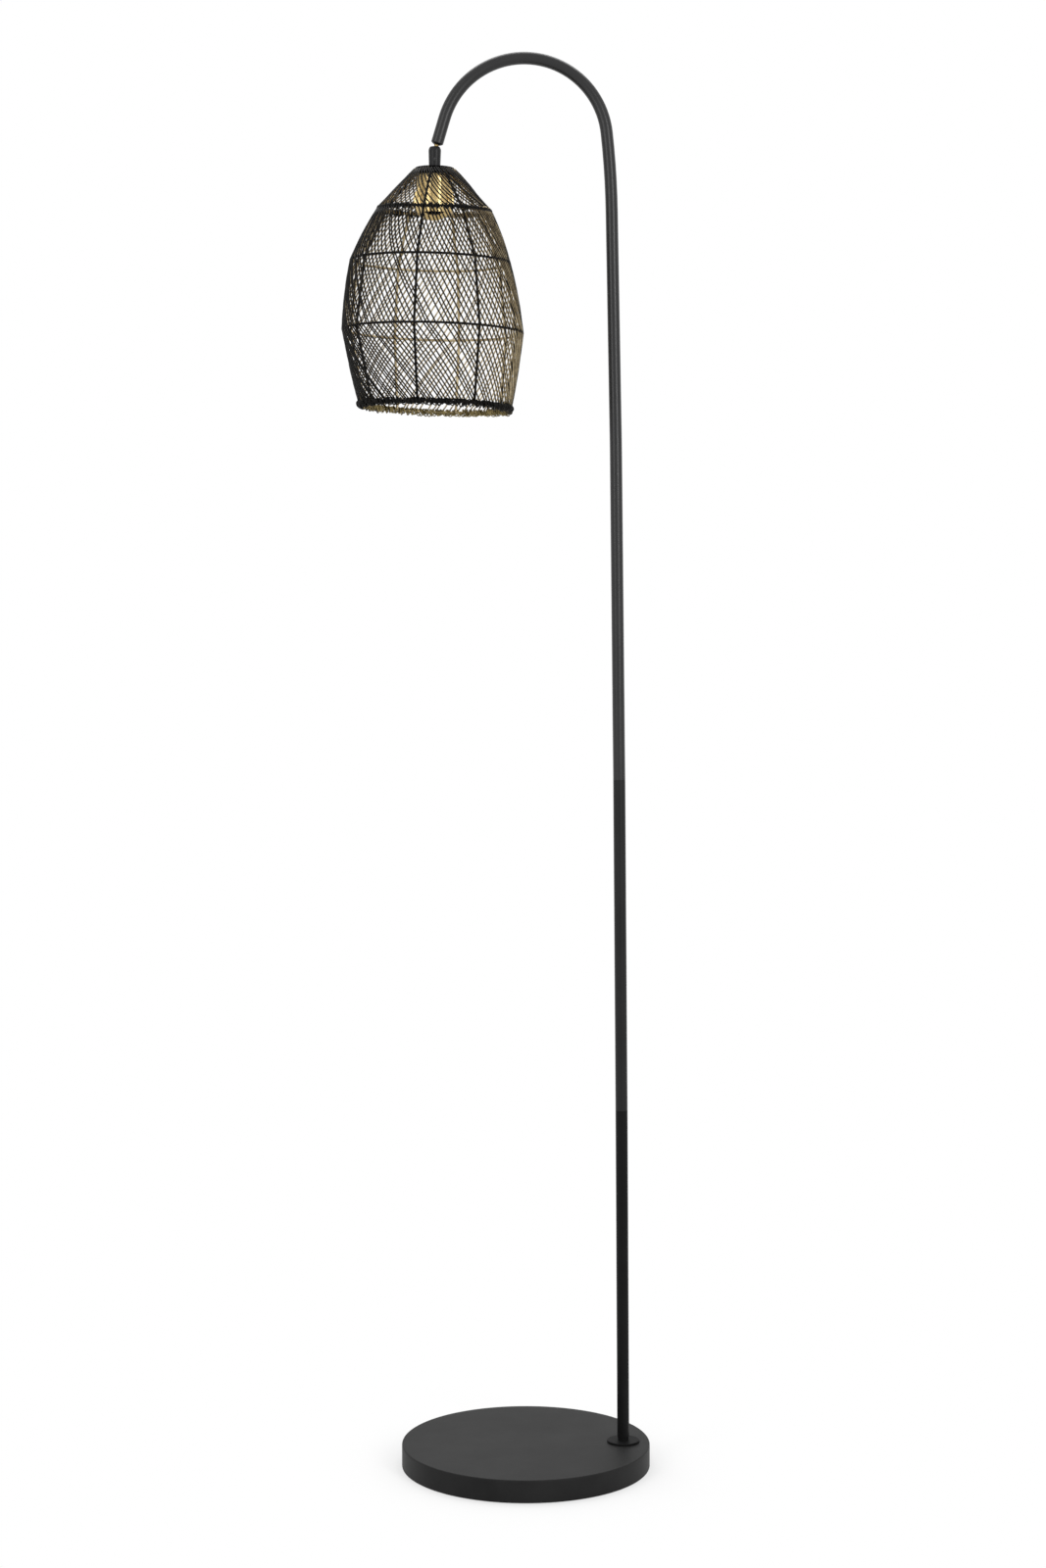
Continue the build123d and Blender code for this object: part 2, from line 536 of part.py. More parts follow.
# ---- ball joint -----------------------------------------------------------------------------------
def ball_stud():
    """Hollow stud with the ball at its foot, a collar under the plug and a thread at its top."""
    top = PLUG_DEPTH + STUD_WASHER_THICKNESS + STUD_NUT_HEIGHT + 4 * SEAM_GAP
    stud = Pos(0, 0, -BALL_DROP) * Sphere(BALL_RADIUS)
    stud += rod(STUD_RADIUS, -BALL_DROP, top)
    collar_top = -PLUG_NOSE - SEAM_GAP
    stud += rod(STUD_COLLAR_RADIUS, collar_top - STUD_COLLAR_HEIGHT, collar_top)
    stud -= rod(STUD_BORE_RADIUS, -BALL_DROP - 2 * BALL_RADIUS, top + CUT_PAST)
    flare_width = STUD_BORE_RADIUS + BALL_RADIUS * math.tan(math.radians(STUD_FLARE))
    flare = Pos(0, 0, -BALL_DROP - BALL_RADIUS / 2) * Cone(flare_width, STUD_BORE_RADIUS, BALL_RADIUS)
    return ARM_END_PLACE * (stud - flare)


def stud_washer():
    """Friction washer on top of the plug."""
    low = PLUG_DEPTH + SEAM_GAP
    high = low + STUD_WASHER_THICKNESS
    return ARM_END_PLACE * ring_of(STUD_WASHER_RADIUS, STUD_RADIUS + SEAM_GAP, low, high)


def stud_nut():
    """Nut that holds the stud up in the plug."""
    low = PLUG_DEPTH + STUD_WASHER_THICKNESS + 2 * SEAM_GAP
    high = low + STUD_NUT_HEIGHT
    return ARM_END_PLACE * hex_nut(STUD_NUT_ACROSS_FLATS, STUD_RADIUS + THREAD_GAP, low, high)


def on_circle(radius, half_angle):
    """Point (radius, 0, height) on a circle round the ball, half_angle away from straight up."""
    angle = math.radians(half_angle)
    return radius * math.sin(angle), 0, radius * math.cos(angle)


def ball_cup():
    """Tapered cup whose lip holds the ball from above, with a hole for its grub screw."""
    bore = BALL_RADIUS + BALL_GAP
    lip_in = on_circle(bore, MOUTH_INNER_ANGLE)
    lip_out = on_circle(CUP_TOP_RADIUS, MOUTH_OUTER_ANGLE)
    outline = [
        Line((bore, 0, -CUP_DEPTH), (CUP_FOOT_RADIUS, 0, -CUP_DEPTH)),
        Line((CUP_FOOT_RADIUS, 0, -CUP_DEPTH), (CUP_TOP_RADIUS, 0, 0)),
        ThreePointArc((CUP_TOP_RADIUS, 0, 0), on_circle(CUP_TOP_RADIUS, MOUTH_ARC_ANGLE), lip_out),
        Line(lip_out, lip_in),
        ThreePointArc(lip_in, on_circle(bore, MOUTH_ARC_ANGLE), (bore, 0, 0)),
        Line((bore, 0, 0), (bore, 0, -CUP_DEPTH)),
    ]
    cup = revolve(make_face(Wire(outline)), Axis.Z)
    hole = Pos(0, -CUP_TOP_RADIUS, -CUP_SCREW_DEPTH) * Rot(90, 0, 0)
    hole_length = 2 * (CUP_TOP_RADIUS - bore + CUT_PAST)
    return HEAD_PLACE * (cup - hole * Cylinder(CUP_SCREW_RADIUS + THREAD_GAP, hole_length))


def friction_seat():
    """Nylon seat pressed up against the ball."""
    seat = rod(BALL_RADIUS + BALL_GAP / 2, -SEAT_FOOT, -SEAT_TOP)
    seat -= Sphere(BALL_RADIUS + BALL_GAP)
    return HEAD_PLACE * (seat - rod(SEAT_HOLE_RADIUS, -SEAT_FOOT - CUT_PAST, 0))


def seat_spring():
    """Coned spring washer between the seat and the swivelling nipple."""
    top = -SEAT_FOOT - SEAM_GAP
    return HEAD_PLACE * ring_of(BALL_RADIUS, SPRING_INNER_RADIUS, top - SPRING_THICKNESS, top)


def retaining_bush():
    """Bush in the cup's foot that carries the nipple's flange, and with it the shade."""
    bush = ring_of(BALL_RADIUS + BALL_GAP - SEAM_GAP, BUSH_INNER_RADIUS, -CUP_DEPTH, -BUSH_TOP)
    hole = Pos(0, -BUSH_INNER_RADIUS, -CUP_SCREW_DEPTH) * Rot(90, 0, 0)
    hole_length = 2 * (BALL_RADIUS - BUSH_INNER_RADIUS + CUT_PAST)
    return HEAD_PLACE * (bush - hole * Cylinder(CUP_SCREW_RADIUS + THREAD_GAP, hole_length))


def cup_screw():
    """Grub screw at the front of the cup that locks the bush."""
    outer = CUP_TOP_RADIUS - (CUP_TOP_RADIUS - CUP_FOOT_RADIUS) * CUP_SCREW_DEPTH / CUP_DEPTH
    inner = BUSH_INNER_RADIUS + SEAM_GAP
    socket = extrude(RegularPolygon(GRUB_SOCKET_RADIUS, 6), GRUB_SOCKET_DEPTH, both=True)
    screw = rod(CUP_SCREW_RADIUS, inner, outer) - Pos(0, 0, outer) * socket
    return HEAD_PLACE * Pos(0, 0, -CUP_SCREW_DEPTH) * Rot(90, 0, 0) * screw


# ---- head ------------------------------------------------------------------------------------------
def head_nipple():
    """Threaded tube that hangs in the cup by its flange and carries the cap and the lampholder."""
    tube = rod(NIPPLE_RADIUS, -HEAD_NIPPLE_FOOT, -SWIVEL_FLANGE_TOP)
    tube += rod(SWIVEL_FLANGE_RADIUS, -SWIVEL_FLANGE_FOOT, -SWIVEL_FLANGE_TOP)
    return HEAD_PLACE * (tube - rod(NIPPLE_BORE_RADIUS, -HEAD_NIPPLE_FOOT - CUT_PAST, 0))


def shade_cap():
    """Shallow steel cap with a turned-down rim, where the fine wires start."""
    bore = NIPPLE_RADIUS + 2 * SEAM_GAP
    edge = CAP_TOP + CAP_FALL
    chamfer = CAP_RIM_SHEET / 2
    outline = [
        (bore, -CAP_TOP),
        (CAP_CROWN_RADIUS, -CAP_TOP),
        (CAP_RADIUS - chamfer, -edge),
        (CAP_RADIUS, -edge - chamfer),
        (CAP_RADIUS, -edge - CAP_RIM_HEIGHT),
        (CAP_RADIUS - CAP_RIM_SHEET, -edge - CAP_RIM_HEIGHT),
        (CAP_RADIUS - CAP_RIM_SHEET, -edge - CAP_SHEET),
        (CAP_CROWN_RADIUS, -CAP_TOP - CAP_SHEET),
        (bore, -CAP_TOP - CAP_SHEET),
    ]
    return HEAD_PLACE * turned(*outline)


def cap_washer():
    """Washer under the cap."""
    low = -CAP_WASHER_TOP - WASHER_THICKNESS
    radius = CAP_CROWN_RADIUS - CAP_WASHER_MARGIN
    return HEAD_PLACE * ring_of(radius, NIPPLE_RADIUS + SEAM_GAP, low, -CAP_WASHER_TOP)


def cap_nut():
    """Nut that clamps the cap on the nipple."""
    low = -CAP_NUT_TOP - CAP_NUT_HEIGHT
    return HEAD_PLACE * hex_nut(NUT_ACROSS_FLATS, NIPPLE_RADIUS + THREAD_GAP, low, -CAP_NUT_TOP)


def holder_cup():
    """Brass cup over the lampholder, with a rounded shoulder and an open foot."""
    shell = rod(HOLDER_CUP_RADIUS, -HOLDER_CUP_FOOT, -HOLDER_CUP_TOP)
    shell = fillet(shell.edges().group_by(Axis.Z)[-1], HOLDER_CUP_SHOULDER)
    core_top = -HOLDER_CUP_TOP - HOLDER_CUP_SHEET
    core = rod(HOLDER_CUP_RADIUS - HOLDER_CUP_SHEET, -HOLDER_CUP_FOOT, core_top)
    core = fillet(core.edges().group_by(Axis.Z)[-1], HOLDER_CUP_SHOULDER - HOLDER_CUP_SHEET)
    shell -= core
    return HEAD_PLACE * (shell - rod(NIPPLE_RADIUS + 2 * SEAM_GAP, -HOLDER_CUP_FOOT, 0))


def lampholder_body():
    """Moulded E27 lampholder body: threaded neck, wiring chamber, floor and socket."""
    skirt = HOLDER_CUP_RADIUS - HOLDER_CUP_SHEET - HOLE_GAP
    neck_foot = HOLDER_TOP + HOLDER_NECK_HEIGHT
    body = rod(HOLDER_NECK_RADIUS, -neck_foot - CUT_PAST, -HOLDER_TOP)
    body += rod(skirt, -HOLDER_FOOT, -neck_foot)
    body -= rod(NIPPLE_RADIUS + THREAD_GAP, -HEAD_NIPPLE_FOOT - SEAM_GAP, 0)
    body -= rod(HOLDER_CHAMBER_RADIUS, -HOLDER_FLOOR_TOP, -HEAD_NIPPLE_FOOT - SEAM_GAP)
    body -= rod(CONTACT_RIVET_RADIUS + SEAM_GAP, -HOLDER_FLOOR_FOOT - CUT_PAST, -HOLDER_FLOOR_TOP + CUT_PAST)
    body -= rod(SOCKET_RADIUS + SOCKET_SHEET + SEAM_GAP, -HOLDER_FOOT - CUT_PAST, -HOLDER_FLOOR_FOOT)
    for side in (-1, 1):
        screw = rod(TERMINAL_SCREW_RADIUS + THREAD_GAP, -HOLDER_FLOOR_FOOT, -HOLDER_FLOOR_TOP + CUT_PAST)
        body -= Pos(side * TERMINAL_SPACING / 2, 0, 0) * screw
    return HEAD_PLACE * body


def lampholder_shell():
    """Brass screw shell of the socket."""
    return HEAD_PLACE * ring_of(SOCKET_RADIUS + SOCKET_SHEET, SOCKET_RADIUS, -SHELL_FOOT, -SHELL_TOP)


def centre_contact():
    """Riveted centre contact in the socket's floor."""
    disc_foot = -HOLDER_FLOOR_FOOT - SEAM_GAP - CONTACT_THICKNESS
    contact = rod(CONTACT_RADIUS, disc_foot, disc_foot + CONTACT_THICKNESS)
    contact += rod(CONTACT_NIB_RADIUS, disc_foot - CONTACT_NIB_HEIGHT, disc_foot + CONTACT_THICKNESS)
    contact += rod(CONTACT_RIVET_RADIUS, disc_foot, -HOLDER_FLOOR_TOP)
    return HEAD_PLACE * contact


def terminal_screws():
    """The two terminal screws in the wiring chamber."""
    screws = []
    floor = -HOLDER_FLOOR_TOP
    for side in (-1, 1):
        screw = rod(TERMINAL_HEAD_RADIUS, floor + SEAM_GAP, floor + TERMINAL_HEAD_HEIGHT)
        screw += rod(TERMINAL_SCREW_RADIUS, -HOLDER_FLOOR_FOOT + SEAM_GAP, floor + CUT_PAST)
        screws.append(HEAD_PLACE * Pos(side * TERMINAL_SPACING / 2, 0, 0) * screw)
    return Compound(children=screws)


def head_lead():
    """The lead below the ball, down to the lampholder's terminals."""
    return HEAD_PLACE * rod(LEAD_RADIUS, -HOLDER_FLOOR_TOP + 2 * SEAM_GAP, -LEAD_END_GAP)


# ---- wire cage -----------------------------------------------------------------------------------
def ring_place(name):
    """Place of a ring in the head: its depth, its drift and its dips."""
    depth, _, drift, front_dip, right_dip = RINGS[name]
    return Location((drift, 0, -depth), (front_dip, right_dip, 0))


def cap_point(azimuth, layer):
    """Where a wire leaves the cap's rim, in the inner or the outer of two layers."""
    x, y = polar(CAP_RADIUS + WIRE_GAP + WIRE_RADIUS + layer * CAP_WIRE_LAYER, azimuth)
    return Vector(x, y, -CAP_WIRE_DEPTH)


def cage_point(name, azimuth, offset, lift):
    """Point beside a ring, offset outwards from the middle of its bar and lifted above its plane."""
    x, y = polar(RINGS[name][1] + offset, azimuth)
    return (ring_place(name) * Pos(x, y, lift)).position


def cage_ring(name):
    """One bent and soldered ring."""
    return HEAD_PLACE * ring_place(name) * Torus(RINGS[name][1], RING_BAR_RADIUS)


def rim_binding():
    """The fine wires' ends bound round the bottom ring, as one sleeve that is open to the inside."""
    radius = RINGS["rim_ring"][1]
    sleeve = Torus(radius, BINDING_RADIUS) - Torus(radius, RING_BAR_RADIUS + BINDING_GAP)
    sleeve -= Cylinder(radius - BINDING_OPENING, 4 * BINDING_RADIUS)
    return HEAD_PLACE * ring_place("rim_ring") * sleeve


def side_lean(name):
    """Lean of the cage's side at a ring, the mean of the sides above and below it."""
    profile = [(RIB_TOP_RADIUS, RIB_TOP_DEPTH)] + [(ring[1], ring[0]) for ring in RINGS.values()]
    at = list(RINGS).index(name) + 1
    sides = zip(profile[at - 1 : at + 1], profile[at : at + 2])
    leans = [math.atan2(lower[0] - upper[0], lower[1] - upper[1]) for upper, lower in sides]
    return sum(leans) / len(leans)


def rib_corner(name, azimuth):
    """Where a rib bends, square inwards from the ring that it is soldered to."""
    lean = side_lean(name)
    return cage_point(name, azimuth, -RIB_OFFSET * math.cos(lean), -RIB_OFFSET * math.sin(lean))


def shade_rib(top, *azimuths):
    """One upright rib inside the rings, bent at each ring."""
    x, y = polar(RIB_TOP_RADIUS, top)
    points = [Vector(x, y, -RIB_TOP_DEPTH)]
    points += [rib_corner(name, azimuth) for name, azimuth in zip(RINGS, azimuths)]
    path = FilletPolyline(*points, radius=RIB_BEND_RADIUS)
    section = Plane(origin=points[0], z_dir=points[1] - points[0]) * Circle(RIB_RADIUS)
    return HEAD_PLACE * sweep(section, path=path.wire())


def shade_ribs():
    """All eight ribs."""
    return Compound(children=[shade_rib(*azimuths) for azimuths in RIBS])


def bowed_wire(start, middle, end):
    """Round wire along the arc through three points."""
    arc = ThreePointArc(start, middle, end)
    centre = arc.arc_center
    normal = (start - centre).cross(end - centre)
    section = Plane(origin=start, z_dir=arc % 0) * Circle(WIRE_RADIUS)
    turn = (start - centre).get_angle(end - centre)
    return revolve(section, Axis(centre, normal), turn)


def wire_top(name, azimuth, layer):
    """Top of a wire on a ring, or at the cap's rim."""
    if name is None:
        return cap_point(azimuth, layer)
    return cage_point(name, azimuth, WIRE_OFFSET, -WIRE_STAGGER)


def wire_end(name, azimuth):
    """Foot of a wire on a ring, or on the binding of the bottom ring."""
    if name == "rim_ring":
        return cage_point(name, azimuth, RIM_LANDING, RIM_LANDING_LIFT)
    return cage_point(name, azimuth, WIRE_OFFSET, WIRE_STAGGER)


def wire_band(name):
    """One band of slanting wires, bowed out so that they follow the cage's shape."""
    upper, lower, count, twist, wobble, wobble_from, bow = BANDS[name]
    scatter = random.Random(SCATTER_SEED + count + round(twist))
    step = 360.0 / count
    wires = []
    for i in range(count):
        top = step * i
        turn = twist + wobble * math.cos(math.radians(top - wobble_from))
        foot = top + turn + scatter.uniform(-1, 1) * WIRE_SCATTER * step
        half = (top + foot) / 2
        start = wire_top(upper, top, i % 2)
        end = wire_end(lower, foot)
        above = wire_top(upper, half, i % 2)
        middle = (above + wire_end(lower, half)) / 2 + Vector(*polar(bow, half), 0)
        wires.append(HEAD_PLACE * bowed_wire(start, middle, end))
    return Compound(children=wires)


# ---- write every node ------------------------------------------------------------------------------
def main():
    os.makedirs("parts", exist_ok=True)
    save("base_cover", base_cover())
    save("base_weight", base_weight())
    save("bottom_plate", bottom_plate())
    save("plate_screws", plate_screws())
    save("base_felt", base_felt())
    save("cord_grommet", cord_grommet())
    save("terminal_block", terminal_block())
    save("block_screw", block_screw())
    save("pole_flange", pole_flange())
    save("pole_nipple", pole_nipple())
    save("nipple_washer", nipple_washer())
    save("nipple_nut", nipple_nut())
    save("pole_foot_bush", pole_foot_bush())
    for index, level in enumerate(("lower", "middle", "upper")):
        save(f"{level}_pole_tube", pole_tube(index))
        save(f"{level}_pole_coupler", pole_coupler(index))
    save("bent_arm", bent_arm())
    save("arm_end_plug", arm_end_plug())
    save("plug_screw", plug_screw())
    save("pole_lead", pole_lead())
    save("ball_stud", ball_stud())
    save("stud_washer", stud_washer())
    save("stud_nut", stud_nut())
    save("ball_cup", ball_cup())
    save("friction_seat", friction_seat())
    save("seat_spring", seat_spring())
    save("retaining_bush", retaining_bush())
    save("cup_screw", cup_screw())
    save("head_nipple", head_nipple())
    save("shade_cap", shade_cap())
    save("cap_washer", cap_washer())
    save("cap_nut", cap_nut())
    save("holder_cup", holder_cup())
    save("lampholder_body", lampholder_body())
    save("lampholder_shell", lampholder_shell())
    save("centre_contact", centre_contact())
    save("terminal_screws", terminal_screws())
    save("head_lead", head_lead())
    for name in RINGS:
        save(name, cage_ring(name))
    save("rim_binding", rim_binding())
    save("shade_ribs", shade_ribs())
    for name in BANDS:
        save(name, wire_band(name))


main()
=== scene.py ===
import json
import math
import random

import bpy
import numpy as np
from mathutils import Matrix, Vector


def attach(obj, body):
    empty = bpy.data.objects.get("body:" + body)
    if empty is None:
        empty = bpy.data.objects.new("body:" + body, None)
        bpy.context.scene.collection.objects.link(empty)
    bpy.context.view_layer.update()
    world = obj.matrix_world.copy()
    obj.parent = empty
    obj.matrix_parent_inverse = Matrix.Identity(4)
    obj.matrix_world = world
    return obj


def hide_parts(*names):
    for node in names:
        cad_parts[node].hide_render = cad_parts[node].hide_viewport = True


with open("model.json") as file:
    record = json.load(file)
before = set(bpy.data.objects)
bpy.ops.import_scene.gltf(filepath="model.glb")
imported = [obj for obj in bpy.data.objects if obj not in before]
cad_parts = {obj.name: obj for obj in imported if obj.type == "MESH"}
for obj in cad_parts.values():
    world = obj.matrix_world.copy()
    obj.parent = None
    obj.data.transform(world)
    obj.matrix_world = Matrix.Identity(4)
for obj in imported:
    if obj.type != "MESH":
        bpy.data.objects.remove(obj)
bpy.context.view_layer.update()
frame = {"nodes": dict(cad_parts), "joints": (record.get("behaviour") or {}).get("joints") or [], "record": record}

# Looks of the wire cage floor lamp. Metres. +Z is up, the front faces -Y and the shade hangs at -X.

# ---- camera, as worked out from the base's ellipses, the pole and the shade's rings -------------
IMAGE_LONG_SIDE = 1600
FOCAL_PIXELS = 2780.4
SENSOR = 36.0
CAMERA_AT = (-0.0035, -3.2486, 1.0271)
CAMERA_DOWN = 3.537          # degrees

# ---- stage --------------------------------------------------------------------------------------
WORLD_LEVEL = 0.75
FLOOR_HALF = 14.0
FLOOR_WHITE = 0.92
FADE_REACH = (0.14, 0.42)    # distance from the base's middle over which the floor turns plain white
FADE_SHARE = (0.55, 1.0)     # how plain white it is at the two ends

# ---- real sizes that the dressing needs ---------------------------------------------------------
RINGS = ("neck_ring", "shoulder_ring", "belly_ring", "rim_ring")
BANDS = ("shoulder_wires", "belly_wires", "skirt_wires")
BOWS = (0.0017, 0.0017, 0.0011)   # how far each band bows out past the straight side of the cage
WIRE = 0.0009                # radius of the fine wires
CROWN_WIRES = 66             # how many wires run from the cap to the neck ring
CURLS = 170                  # how many stray loops hang below the bottom ring
CAD_WIRE = 0.0008            # radius of the wires' solids, to find their ends
RING_BAR = 0.0014            # radius of the rings' bar
SEAT = 0.0021                # from the middle of a ring's bar to the middle of a wire soldered to it
TOUCH = 0.00008              # air between pieces that lie against each other
SOLDERED = (0.0014, 0.0022)  # distance from a ring's plane over which its touched-up black ends
RUN_POINTS = 9               # points along a wire between two rings
THREAD_PITCH = 0.0036
THREAD_DEPTH = 0.0009
SHELL_SHEET = 0.0004         # thickness of the screw shell
SHELL_AIR = 0.00002          # the shell lies this far inside its solid
LIP_DROP = 0.0015            # from the screw shell's foot down to its turned-out lip
LIP = (                      # section of that lip, as (lift, out) from its inner upper edge
    (-0.0001, 0.0), (-0.0001, 0.0064), (-0.0005, 0.0066),
    (-0.0008, 0.0064), (-0.0008, 0.0), (-0.0005, -0.0004),
)

NODES = frame["nodes"]
BALL = next(Vector(joint["pos_m"]) for joint in frame["joints"] if joint["name"] == "shade_turn")


# ---- camera and stage ---------------------------------------------------------------------------
def make_camera():
    """The camera that took the view, above the middle of the pole and turned a little down."""
    data = bpy.data.cameras.new("view_camera")
    data.sensor_width = SENSOR
    data.lens = FOCAL_PIXELS * SENSOR / IMAGE_LONG_SIDE
    data.clip_end = 60
    camera = bpy.data.objects.new("view_camera", data)
    camera.location = CAMERA_AT
    camera.rotation_euler = (math.radians(90 - CAMERA_DOWN), 0, 0)
    bpy.context.scene.collection.objects.link(camera)
    bpy.context.scene.camera = camera


def area_light(name, at, towards, width, height, power):
    """A rectangular soft light that faces a point."""
    data = bpy.data.lights.new(name, "AREA")
    data.shape = "RECTANGLE"
    data.size = width
    data.size_y = height
    data.energy = power
    light = bpy.data.objects.new(name, data)
    light.location = at
    light.rotation_euler = (Vector(towards) - Vector(at)).to_track_quat("-Z", "Y").to_euler()
    bpy.context.scene.collection.objects.link(light)


def seen_share(tree):
    """1 for rays that show the background, straight, in a reflection or through glass, else 0."""
    path = tree.nodes.new("ShaderNodeLightPath")
    total = path.outputs["Is Camera Ray"]
    for name in ("Is Glossy Ray", "Is Transmission Ray"):
        add = tree.nodes.new("ShaderNodeMath")
        add.operation = "MAXIMUM"
        tree.links.new(total, add.inputs[0])
        tree.links.new(path.outputs[name], add.inputs[1])
        total = add.outputs[0]
    return total


def make_world(level):
    """A white world to look at, which lights the object at a plain level."""
    world = bpy.data.worlds.new("studio_world")
    bpy.context.scene.world = world
    world.use_nodes = True
    tree = world.node_tree
    background = tree.nodes["Background"]
    background.inputs["Color"].default_value = (1, 1, 1, 1)
    strength = tree.nodes.new("ShaderNodeMapRange")
    strength.inputs["To Min"].default_value = level
    strength.inputs["To Max"].default_value = 1.0
    tree.links.new(seen_share(tree), strength.inputs["Value"])
    tree.links.new(strength.outputs["Result"], background.inputs["Strength"])


def make_floor():
    """A wide white floor: near the lamp it takes the soft shadow, further away it is plain white."""
    half = FLOOR_HALF
    mesh = bpy.data.meshes.new("studio_floor")
    corners = [(-half, -half, 0), (half, -half, 0), (half, half, 0), (-half, half, 0)]
    mesh.from_pydata(corners, [], [(0, 1, 2, 3)])
    floor = bpy.data.objects.new("studio_floor", mesh)
    bpy.context.scene.collection.objects.link(floor)
    material = bpy.data.materials.new("studio_floor_white")
    material.use_nodes = True
    tree = material.node_tree
    tree.nodes.clear()
    paper = tree.nodes.new("ShaderNodeBsdfDiffuse")
    paper.inputs["Color"].default_value = (FLOOR_WHITE, FLOOR_WHITE, FLOOR_WHITE, 1)
    glow = tree.nodes.new("ShaderNodeEmission")
    glow.inputs["Color"].default_value = (1, 1, 1, 1)
    place = tree.nodes.new("ShaderNodeTexCoord")
    reach = tree.nodes.new("ShaderNodeVectorMath")
    reach.operation = "LENGTH"
    fade = tree.nodes.new("ShaderNodeMapRange")
    fade.interpolation_type = "SMOOTHSTEP"
    for name, value in zip(("From Min", "From Max", "To Min", "To Max"), FADE_REACH + FADE_SHARE):
        fade.inputs[name].default_value = value
    share = tree.nodes.new("ShaderNodeMath")
    share.operation = "MULTIPLY"
    blend = tree.nodes.new("ShaderNodeMixShader")
    out = tree.nodes.new("ShaderNodeOutputMaterial")
    tree.links.new(place.outputs["Object"], reach.inputs[0])
    tree.links.new(reach.outputs["Value"], fade.inputs["Value"])
    tree.links.new(fade.outputs["Result"], share.inputs[0])
    tree.links.new(seen_share(tree), share.inputs[1])
    tree.links.new(share.outputs[0], blend.inputs["Fac"])
    tree.links.new(paper.outputs[0], blend.inputs[1])
    tree.links.new(glow.outputs[0], blend.inputs[2])
    tree.links.new(blend.outputs[0], out.inputs["Surface"])
    mesh.materials.append(material)


# ---- materials ----------------------------------------------------------------------------------
class Finish:
    """A material with one Principled shader, and short calls for the nodes that feed it."""

    def __init__(self, name, colour, rough, metal=0.0, specular=0.5):
        self.material = bpy.data.materials.new(name)
        self.material.use_nodes = True
        self.material.diffuse_color = (*colour, 1)
        self.tree = self.material.node_tree
        self.shader = self.tree.nodes["Principled BSDF"]
        self.shader.inputs["Base Color"].default_value = (*colour, 1)
        self.shader.inputs["Roughness"].default_value = rough
        self.shader.inputs["Metallic"].default_value = metal
        self.shader.inputs["Specular IOR Level"].default_value = specular
        self.at = self.tree.nodes.new("ShaderNodeTexCoord")

    def put(self, source, socket):
        """Feed one of the shader's sockets."""
        self.tree.links.new(source, self.shader.inputs[socket])

    def node(self, kind, values=(), **settings):
        """A node with its settings, and values or links for its inputs."""
        made = self.tree.nodes.new(kind)
        for key, value in settings.items():
            setattr(made, key, value)
        for key, value in dict(values).items():
            if isinstance(value, bpy.types.NodeSocket):
                self.tree.links.new(value, made.inputs[key])
            else:
                made.inputs[key].default_value = value
        return made

    def scaled(self, factors):
        """The object's own coordinates, stretched by a factor along each axis."""
        values = {"Vector": self.at.outputs["Object"], "Scale": factors}
        return self.node("ShaderNodeMapping", values).outputs["Vector"]

    def noise(self, scale, detail=3.0, rough=0.55, stretch=None):
        """Noise from 0 to 1, its scale in features per metre."""
        where = self.scaled(stretch) if stretch else self.at.outputs["Object"]
        values = {"Vector": where, "Scale": scale, "Detail": detail, "Roughness": rough}
        return self.node("ShaderNodeTexNoise", values).outputs["Fac"]

    def span(self, value, low, high, to_low=0.0, to_high=1.0):
        """Value mapped from one range onto another, and held at its ends."""
        values = {"Value": value, "From Min": low, "From Max": high, "To Min": to_low, "To Max": to_high}
        return self.node("ShaderNodeMapRange", values).outputs["Result"]

    def math(self, operation, a, b=0.0):
        """One sum."""
        return self.node("ShaderNodeMath", {0: a, 1: b}, operation=operation).outputs[0]

    def vector(self, operation, a, b):
        """One vector sum, with the output that it has."""
        made = self.node("ShaderNodeVectorMath", {0: a, 1: b}, operation=operation)
        return made.outputs["Value" if operation in ("DOT_PRODUCT", "DISTANCE") else "Vector"]

    def bump(self, height, strength, depth):
        """Relief of the given depth in metres, on top of what was there."""
        values = {"Height": height, "Strength": strength, "Distance": depth}
        last = self.shader.inputs["Normal"].links
        if last:
            values["Normal"] = last[0].from_socket
        self.put(self.node("ShaderNodeBump", values).outputs["Normal"], "Normal")


def colour_mix(finish, share, a, b):
    """A colour between two colours or links."""
    made = finish.tree.nodes.new("ShaderNodeMixRGB")
    for socket, value in zip(made.inputs, (share, a, b)):
        if isinstance(value, bpy.types.NodeSocket):
            finish.tree.links.new(value, socket)
        elif isinstance(value, tuple):
            socket.default_value = (*value, 1)
        else:
            socket.default_value = value
    return made.outputs["Color"]


def powder_coat(name, colour, rough, specular, dust=0.25):
    """Black satin powder coat: fine texture, soft waviness, a little dust on what faces up."""
    made = Finish(name, colour, rough, specular=specular)
    cloudy = made.noise(14.0, 4.0, 0.6)
    speck = made.noise(2600.0, 2.0, 0.6)
    deep = tuple(0.72 * c for c in colour)
    light = tuple(1.35 * c + 0.001 for c in colour)
    tone = colour_mix(made, made.span(cloudy, 0.3, 0.7), deep, light)
    up = made.node("ShaderNodeSeparateXYZ", {0: made.at.outputs["Normal"]}).outputs["Z"]
    lint = made.span(made.noise(900.0, 5.0, 0.75), 0.62, 0.8)
    dusty = made.math("MULTIPLY", made.span(up, 0.6, 1.0), made.math("MULTIPLY", lint, dust))
    tone = colour_mix(made, dusty, tone, (0.12, 0.115, 0.105))
    made.put(tone, "Base Color")
    smooth = made.span(cloudy, 0.25, 0.75, rough - 0.05, rough + 0.06)
    made.put(made.math("ADD", smooth, made.math("MULTIPLY", speck, 0.05)), "Roughness")
    made.bump(speck, 0.25, 0.00004)
    made.bump(made.noise(160.0, 2.0, 0.5), 0.12, 0.0002)
    return made.material


